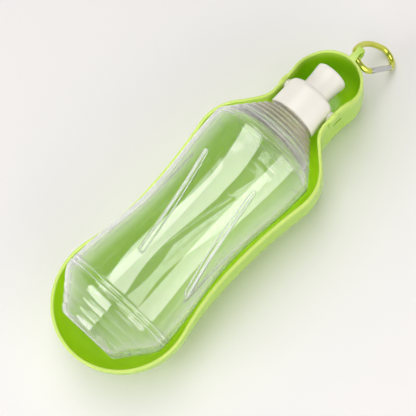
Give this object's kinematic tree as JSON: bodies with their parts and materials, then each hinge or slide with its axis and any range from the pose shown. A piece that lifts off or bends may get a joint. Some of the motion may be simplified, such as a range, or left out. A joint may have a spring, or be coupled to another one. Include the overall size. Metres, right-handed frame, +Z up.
{
  "type": "dog travel water bottle",
  "caption": "Clear squeeze bottle hinged by its cap inside a leaf-shaped green drinking trough, with a pull-out spout and a small carabiner on a lug at the head.",
  "frame": {"origin": "on the flat band under the trough, on the centre plane, below the middle of the body", "axes": "+X along the bottle toward the spout and the lug, +Y across, +Z up out of the trough"},
  "size_m": [0.2752, 0.086, 0.0773],
  "materials": {
    "trough": "glossy moulded",
    "bottle": "clear blown",
    "cap": "satin moulded",
    "seal": "matte",
    "clip": "anodised",
    "gate": "bright",
    "steel": "bright"
  },
  "bodies": {
    "trough": {"trough": "trough"},
    "cap": {"cap": "cap"},
    "seal": {"sealing_ring": "seal"},
    "bottle": {"bottle": "bottle"},
    "spout": {"spout": "cap"},
    "ring": {"carabiner_ring": "clip"},
    "gate": {"carabiner_gate": "gate", "gate_rivet": "steel", "gate_pin": "steel", "gate_plunger": "steel", "gate_spring": "steel"}
  },
  "joints": [
    {"name": "bottle_swing", "type": "hinge", "parent": "trough", "child": "cap", "pos_m": [0.084, 0, 0.0398], "axis": [0, 1, 0], "range_deg": [0, 130]},
    {"name": "bottle_unscrew_travel", "type": "slide", "parent": "cap", "child": "seal", "axis": [-1, 0, 0], "range_m": [0, 0.00641]},
    {"name": "bottle_unscrew", "type": "hinge", "parent": "seal", "child": "bottle", "pos_m": [0, 0, 0.0398], "axis": [-1, 0, 0], "range_deg": [0, 720]},
    {"name": "spout_pull", "type": "slide", "parent": "cap", "child": "spout", "axis": [1, 0, 0], "range_m": [0, 0.005]},
    {"name": "carabiner_swing", "type": "hinge", "parent": "trough", "child": "ring", "pos_m": [0.1267, 0, 0.0334], "axis": [0, 1, 0], "range_deg": [-110, 20]},
    {"name": "gate_open", "type": "hinge", "parent": "ring", "child": "gate", "pos_m": [0.12853, -0.01146, 0.024], "axis": [0.6768, -0.397, 0.62], "range_deg": [0, 25], "stiffness_Nm_per_rad": 0.02, "springref_deg": -8.59}
  ],
  "couplings": [
    {"joint": "bottle_unscrew_travel", "follows": "bottle_unscrew", "m_per_rad": 0.0005093}
  ]
}
